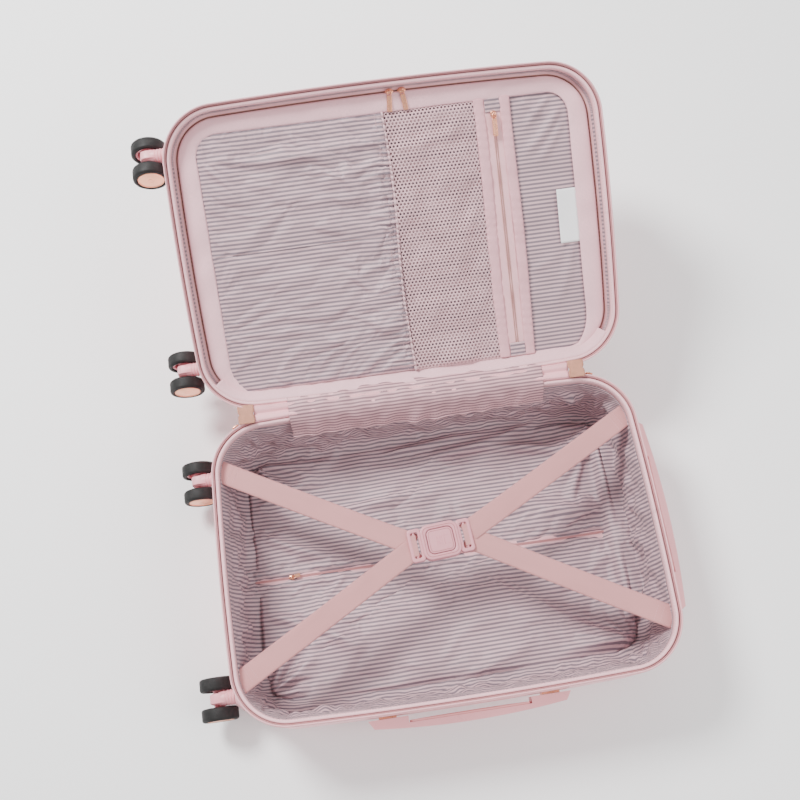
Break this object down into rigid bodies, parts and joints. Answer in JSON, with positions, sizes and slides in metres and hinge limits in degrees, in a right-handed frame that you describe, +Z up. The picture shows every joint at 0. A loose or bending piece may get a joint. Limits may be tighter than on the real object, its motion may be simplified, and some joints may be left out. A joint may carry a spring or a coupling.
{
  "type": "hard shell suitcase",
  "caption": "Hard shell cabin suitcase on swivel casters, shown lying open, with a zipped divider and pockets in the lid, cross straps, carry handles and a telescopic trolley.",
  "frame": {"origin": "middle of the rear shell's flat back, on the surface that the case lies on", "axes": "+Z up out of the rear shell, +X along the case from the wheels to the top handle, +Y to the hinge side"},
  "size_m": [0.563, 0.7303, 0.3026],
  "materials": {
    "shell_pink": "satin moulded shell",
    "linen_pink": "fine linen weave",
    "zip_pink": "woven zip tape",
    "tan_leather": "smooth tan",
    "stripe_lining": "satin with grey and pink stripes",
    "mesh_pink": "open net",
    "strap_pink": "flat elastic webbing",
    "buckle_pink": "satin",
    "bare_aluminium": "brushed",
    "handle_pink": "satin",
    "soft_pad": "soft touch",
    "button_pink": "satin",
    "bright_steel": "plated",
    "rose_gold": "polished rose gold",
    "housing_pink": "satin",
    "label_white": "woven label",
    "fork_pink": "satin",
    "black_tyre": "ribbed rubber",
    "hub_pink": "satin"
  },
  "bodies": {
    "rear_case": {"rear_shell": "shell_pink", "rear_rim_binding": "linen_pink", "rear_zip_tape": "zip_pink", "hinge_tape": "zip_pink", "zip_end_tabs": "tan_leather", "rear_lining": "stripe_lining", "lining_zip_tape": "zip_pink", "hinge_flap": "stripe_lining", "cross_straps": "strap_pink", "buckle_socket": "buckle_pink", "buckle_plug": "buckle_pink", "trolley_outer_tubes": "bare_aluminium", "trolley_cup": "handle_pink", "handle_brackets": "rose_gold", "rear_wheel_housings": "housing_pink", "main_zip_sliders": "rose_gold"},
    "lid": {"front_shell": "shell_pink", "front_rim_binding": "linen_pink", "front_zip_tape": "zip_pink", "front_lining": "stripe_lining", "divider_zip_tape": "zip_pink", "front_wheel_housings": "housing_pink"},
    "divider": {"divider_panel": "linen_pink", "gathered_pocket": "stripe_lining", "mesh_pocket": "mesh_pink", "pocket_zip_tape": "zip_pink", "care_label": "label_white"},
    "divider_sliders": {"divider_zip_sliders": "rose_gold"},
    "pocket_slider": {"pocket_zip_slider": "rose_gold"},
    "lining_slider": {"lining_zip_slider": "rose_gold"},
    "buckle_press": {"buckle_button": "buckle_pink"},
    "trolley_middle": {"trolley_middle_tubes": "bare_aluminium"},
    "trolley_inner": {"trolley_inner_tubes": "bare_aluminium", "trolley_grip": "handle_pink"},
    "trolley_press": {"trolley_button": "button_pink", "trolley_push_rods": "bright_steel"},
    "side_handle": {"side_handle_grip": "handle_pink", "side_handle_pad": "soft_pad"},
    "top_handle": {"top_handle_grip": "handle_pink", "top_handle_pad": "soft_pad"},
    "caster_rear_left": {"fork_rear_left": "fork_pink"},
    "wheel_rear_left_1": {"tyre_rear_left_1": "black_tyre", "hub_rear_left_1": "hub_pink"},
    "wheel_rear_left_2": {"tyre_rear_left_2": "black_tyre", "hub_rear_left_2": "hub_pink"},
    "caster_rear_right": {"fork_rear_right": "fork_pink"},
    "wheel_rear_right_1": {"tyre_rear_right_1": "black_tyre", "hub_rear_right_1": "hub_pink"},
    "wheel_rear_right_2": {"tyre_rear_right_2": "black_tyre", "hub_rear_right_2": "hub_pink"},
    "caster_front_left": {"fork_front_left": "fork_pink"},
    "wheel_front_left_1": {"tyre_front_left_1": "black_tyre", "hub_front_left_1": "hub_pink"},
    "wheel_front_left_2": {"tyre_front_left_2": "black_tyre", "hub_front_left_2": "hub_pink"},
    "caster_front_right": {"fork_front_right": "fork_pink"},
    "wheel_front_right_1": {"tyre_front_right_1": "black_tyre", "hub_front_right_1": "hub_pink"},
    "wheel_front_right_2": {"tyre_front_right_2": "black_tyre", "hub_front_right_2": "hub_pink"}
  },
  "joints": [
    {"name": "lid_hinge", "type": "hinge", "parent": "rear_case", "child": "lid", "pos_m": [0, 0.178, 0.126], "axis": [1, 0, 0], "range_deg": [0, 150]},
    {"name": "divider_hinge", "type": "hinge", "parent": "lid", "child": "divider", "pos_m": [0, 0.20719, 0.11745], "axis": [-1, 0, 0], "range_deg": [-80, 0]},
    {"name": "divider_zip", "type": "slide", "parent": "lid", "child": "divider_sliders", "axis": [1, 0, 0], "range_m": [-0.17, 0.14]},
    {"name": "pocket_zip", "type": "slide", "parent": "divider", "child": "pocket_slider", "axis": [0, -0.866, -0.5], "range_m": [0, 0.25]},
    {"name": "lining_zip", "type": "slide", "parent": "rear_case", "child": "lining_slider", "axis": [1, 0, 0], "range_m": [-0.036, 0.355]},
    {"name": "buckle_button_press", "type": "slide", "parent": "rear_case", "child": "buckle_press", "axis": [0, 0, -1], "range_m": [0, 0.0013], "stiffness_N_per_m": 600},
    {"name": "trolley_middle_slide", "type": "slide", "parent": "rear_case", "child": "trolley_middle", "axis": [1, 0, 0], "range_m": [0, 0.24]},
    {"name": "trolley_inner_slide", "type": "slide", "parent": "trolley_middle", "child": "trolley_inner", "axis": [1, 0, 0], "range_m": [0, 0.24]},
    {"name": "trolley_button_press", "type": "slide", "parent": "trolley_inner", "child": "trolley_press", "axis": [-1, 0, 0], "range_m": [0, 0.004], "stiffness_N_per_m": 400},
    {"name": "side_handle_pull", "type": "slide", "parent": "rear_case", "child": "side_handle", "axis": [0, -1, 0], "range_m": [0, 0.007], "stiffness_N_per_m": 400},
    {"name": "top_handle_pull", "type": "slide", "parent": "rear_case", "child": "top_handle", "axis": [1, 0, 0], "range_m": [0, 0.007], "stiffness_N_per_m": 400},
    {"name": "swivel_rear_left", "type": "hinge", "parent": "rear_case", "child": "caster_rear_left", "pos_m": [-0.25, 0.128, 0.05], "axis": [1, 0, 0], "continuous": true},
    {"name": "spin_rear_left_1", "type": "hinge", "parent": "caster_rear_left", "child": "wheel_rear_left_1", "pos_m": [-0.275, 0.128, 0.038], "axis": [0, 1, 0], "continuous": true},
    {"name": "spin_rear_left_2", "type": "hinge", "parent": "caster_rear_left", "child": "wheel_rear_left_2", "pos_m": [-0.275, 0.128, 0.038], "axis": [0, 1, 0], "continuous": true},
    {"name": "swivel_rear_right", "type": "hinge", "parent": "rear_case", "child": "caster_rear_right", "pos_m": [-0.25, -0.128, 0.05], "axis": [1, 0, 0], "continuous": true},
    {"name": "spin_rear_right_1", "type": "hinge", "parent": "caster_rear_right", "child": "wheel_rear_right_1", "pos_m": [-0.275, -0.128, 0.038], "axis": [0, 1, 0], "continuous": true},
    {"name": "spin_rear_right_2", "type": "hinge", "parent": "caster_rear_right", "child": "wheel_rear_right_2", "pos_m": [-0.275, -0.128, 0.038], "axis": [0, 1, 0], "continuous": true},
    {"name": "swivel_front_left", "type": "hinge", "parent": "lid", "child": "caster_front_left", "pos_m": [-0.25, 0.481, 0.21318], "axis": [1, 0, 0], "continuous": true},
    {"name": "spin_front_left_1", "type": "hinge", "parent": "caster_front_left", "child": "wheel_front_left_1", "pos_m": [-0.275, 0.481, 0.20118], "axis": [0, 1, 0], "continuous": true},
    {"name": "spin_front_left_2", "type": "hinge", "parent": "caster_front_left", "child": "wheel_front_left_2", "pos_m": [-0.275, 0.481, 0.20118], "axis": [0, 1, 0], "continuous": true},
    {"name": "swivel_front_right", "type": "hinge", "parent": "lid", "child": "caster_front_right", "pos_m": [-0.25, 0.2593, 0.08518], "axis": [1, 0, 0], "continuous": true},
    {"name": "spin_front_right_1", "type": "hinge", "parent": "caster_front_right", "child": "wheel_front_right_1", "pos_m": [-0.275, 0.2593, 0.07318], "axis": [0, 1, 0], "continuous": true},
    {"name": "spin_front_right_2", "type": "hinge", "parent": "caster_front_right", "child": "wheel_front_right_2", "pos_m": [-0.275, 0.2593, 0.07318], "axis": [0, 1, 0], "continuous": true}
  ]
}
